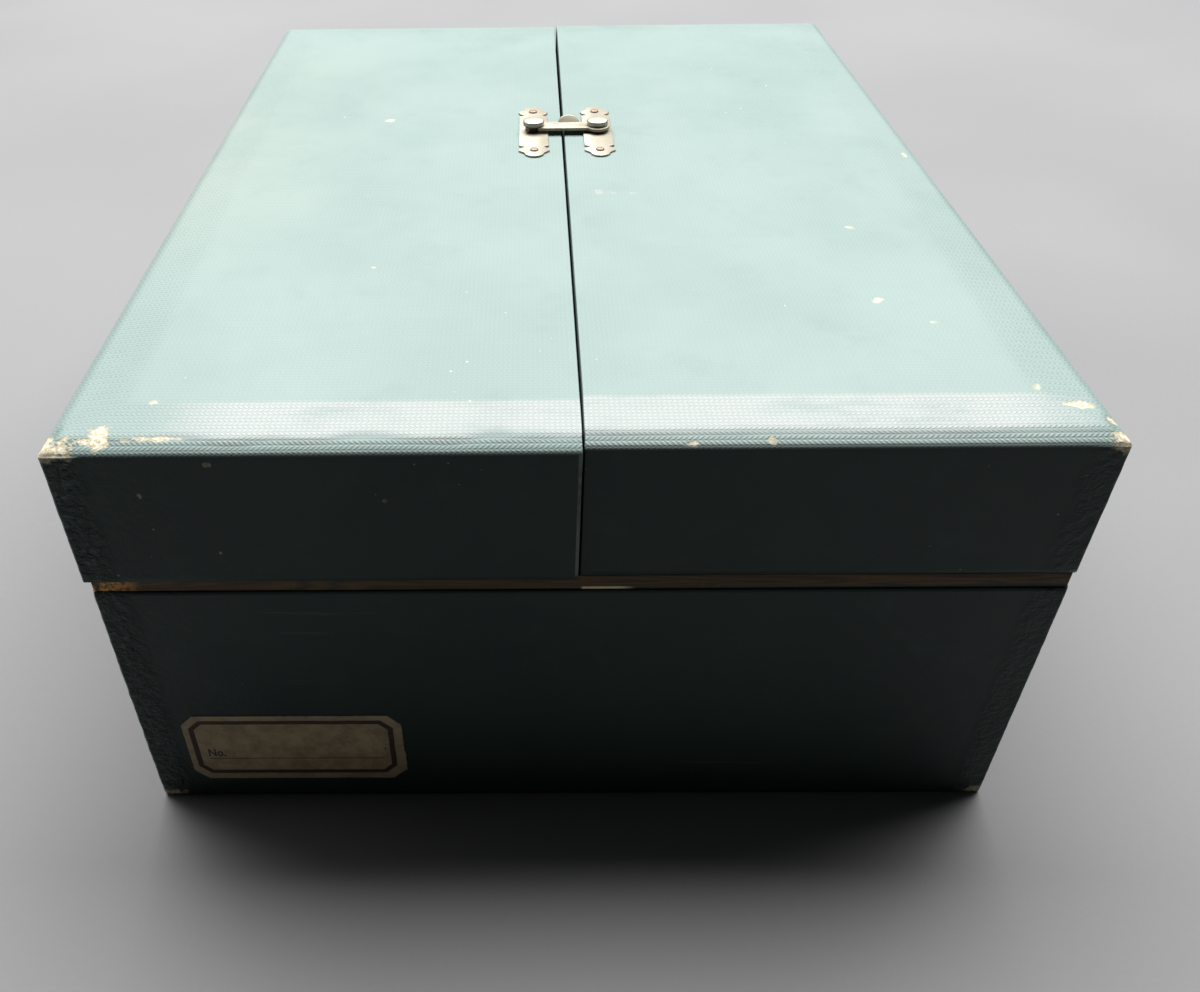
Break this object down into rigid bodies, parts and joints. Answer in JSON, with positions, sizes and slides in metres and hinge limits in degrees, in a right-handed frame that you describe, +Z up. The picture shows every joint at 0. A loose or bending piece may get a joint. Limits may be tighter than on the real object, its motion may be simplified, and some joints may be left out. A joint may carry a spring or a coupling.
{
  "type": "trial lens set",
  "caption": "Cloth-covered optician's case with two side-hinged lids and a hook latch, lens racks with lifting trial lenses, and a folding trial frame",
  "frame": {"origin": "centre of the case's outline at the underside of its base, where it stands", "axes": "+Z up, the front with the label faces -Y, +X to the right seen from the front"},
  "size_m": [0.3088, 0.402, 0.1696],
  "materials": {
    "teal_cloth": "embossed book cloth, worn at corners",
    "pale_wood": "varnished",
    "rack_wood": "stained",
    "velvet": "short pile",
    "paper": "aged, matt",
    "nickel": "worn plating",
    "brass": "dull",
    "lens_metal": "bright, round rims",
    "glass": "clear, polished",
    "frame_metal": "plated",
    "black": "matt"
  },
  "bodies": {
    "case": {"base_floor": "pale_wood", "base_front_wall": "pale_wood", "base_back_wall": "pale_wood", "base_left_wall": "pale_wood", "base_right_wall": "pale_wood", "base_cloth": "teal_cloth", "rim_strip": "pale_wood", "label": "paper", "tray_rest_left": "pale_wood", "tray_rest_right": "pale_wood", "left_front_hinge_base_leaf": "brass", "left_front_hinge_pin": "brass", "left_back_hinge_base_leaf": "brass", "left_back_hinge_pin": "brass", "right_front_hinge_base_leaf": "brass", "right_front_hinge_pin": "brass", "right_back_hinge_base_leaf": "brass", "right_back_hinge_pin": "brass"},
    "tray": {"tray_floor": "rack_wood", "tray_frame": "rack_wood", "tray_partition": "rack_wood", "lens_rack_1": "velvet", "lens_rack_2": "velvet", "lens_rack_3": "velvet", "rack_divider_1": "rack_wood", "rack_divider_2": "rack_wood", "occluder": "black"},
    "trial_frame": {"frame_bar": "frame_metal"},
    "left_lid": {"left_lid_frame": "pale_wood", "left_lid_panel": "pale_wood", "left_lid_pad": "velvet", "left_lid_cloth": "teal_cloth", "left_front_hinge_lid_leaf": "brass", "left_back_hinge_lid_leaf": "brass", "catch_plate": "nickel", "catch_stud": "nickel"},
    "right_lid": {"right_lid_frame": "pale_wood", "right_lid_panel": "pale_wood", "right_lid_pad": "velvet", "right_lid_cloth": "teal_cloth", "right_front_hinge_lid_leaf": "brass", "right_back_hinge_lid_leaf": "brass", "pivot_plate": "nickel", "pivot_stud": "nickel"},
    "hook": {"latch_hook": "nickel"},
    "nose_rest": {"nose_rest": "frame_metal"},
    "left_temple": {"left_temple": "frame_metal"},
    "right_temple": {"right_temple": "frame_metal"},
    "left_cell": {"left_cell": "frame_metal"},
    "right_cell": {"right_cell": "frame_metal"},
    "left_ring": {"left_cell_ring": "black"},
    "right_ring": {"right_cell_ring": "black"},
    "lens_1": {"lens_1_rim": "lens_metal", "lens_1_glass": "glass"},
    "lens_2": {"lens_2_rim": "lens_metal", "lens_2_glass": "glass"},
    "lens_3": {"lens_3_rim": "lens_metal", "lens_3_glass": "glass"}
  },
  "joints": [
    {"name": "left_lid_hinge", "type": "hinge", "parent": "case", "child": "left_lid", "pos_m": [-0.1524, 0, 0.10975], "axis": [0, -1, 0], "range_deg": [0, 180]},
    {"name": "right_lid_hinge", "type": "hinge", "parent": "case", "child": "right_lid", "pos_m": [0.1524, 0, 0.10975], "axis": [0, 1, 0], "range_deg": [0, 180]},
    {"name": "hook_swing", "type": "hinge", "parent": "right_lid", "child": "hook", "pos_m": [0.0164, 0.0286, 0.1645], "axis": [0, 0, -1], "range_deg": [0, 100]},
    {"name": "tray_lift", "type": "slide", "parent": "case", "child": "tray", "axis": [0, 0, 1], "range_m": [0, 0.016]},
    {"name": "trial_frame_lift", "type": "slide", "parent": "tray", "child": "trial_frame", "axis": [0, 0, 1], "range_m": [0, 0.015]},
    {"name": "lens_1_lift", "type": "slide", "parent": "tray", "child": "lens_1", "axis": [0, 0, 1], "range_m": [0, 0.02]},
    {"name": "lens_2_lift", "type": "slide", "parent": "tray", "child": "lens_2", "axis": [0, 0, 1], "range_m": [0, 0.02]},
    {"name": "lens_3_lift", "type": "slide", "parent": "tray", "child": "lens_3", "axis": [0, 0, 1], "range_m": [0, 0.02]},
    {"name": "left_cell_slide", "type": "slide", "parent": "trial_frame", "child": "left_cell", "axis": [-1, 0, 0], "range_m": [-0.003, 0.006]},
    {"name": "right_cell_slide", "type": "slide", "parent": "trial_frame", "child": "right_cell", "axis": [1, 0, 0], "range_m": [-0.003, 0.006]},
    {"name": "left_ring_turn", "type": "hinge", "parent": "left_cell", "child": "left_ring", "pos_m": [-0.092, -0.174, 0.0801], "axis": [0, 1, 0], "continuous": true},
    {"name": "right_ring_turn", "type": "hinge", "parent": "right_cell", "child": "right_ring", "pos_m": [-0.028, -0.174, 0.0801], "axis": [0, 1, 0], "continuous": true},
    {"name": "left_temple_fold", "type": "hinge", "parent": "trial_frame", "child": "left_temple", "pos_m": [-0.1254, -0.165, 0.1056], "axis": [0, 0, 1], "range_deg": [0, 90]},
    {"name": "right_temple_fold", "type": "hinge", "parent": "trial_frame", "child": "right_temple", "pos_m": [0.0054, -0.165, 0.1056], "axis": [0, 0, -1], "range_deg": [0, 90]},
    {"name": "nose_rest_slide", "type": "slide", "parent": "trial_frame", "child": "nose_rest", "axis": [0, 0, -1], "range_m": [0, 0.01]}
  ],
  "couplings": [
    {"joint": "right_cell_slide", "follows": "left_cell_slide", "ratio": 1}
  ]
}
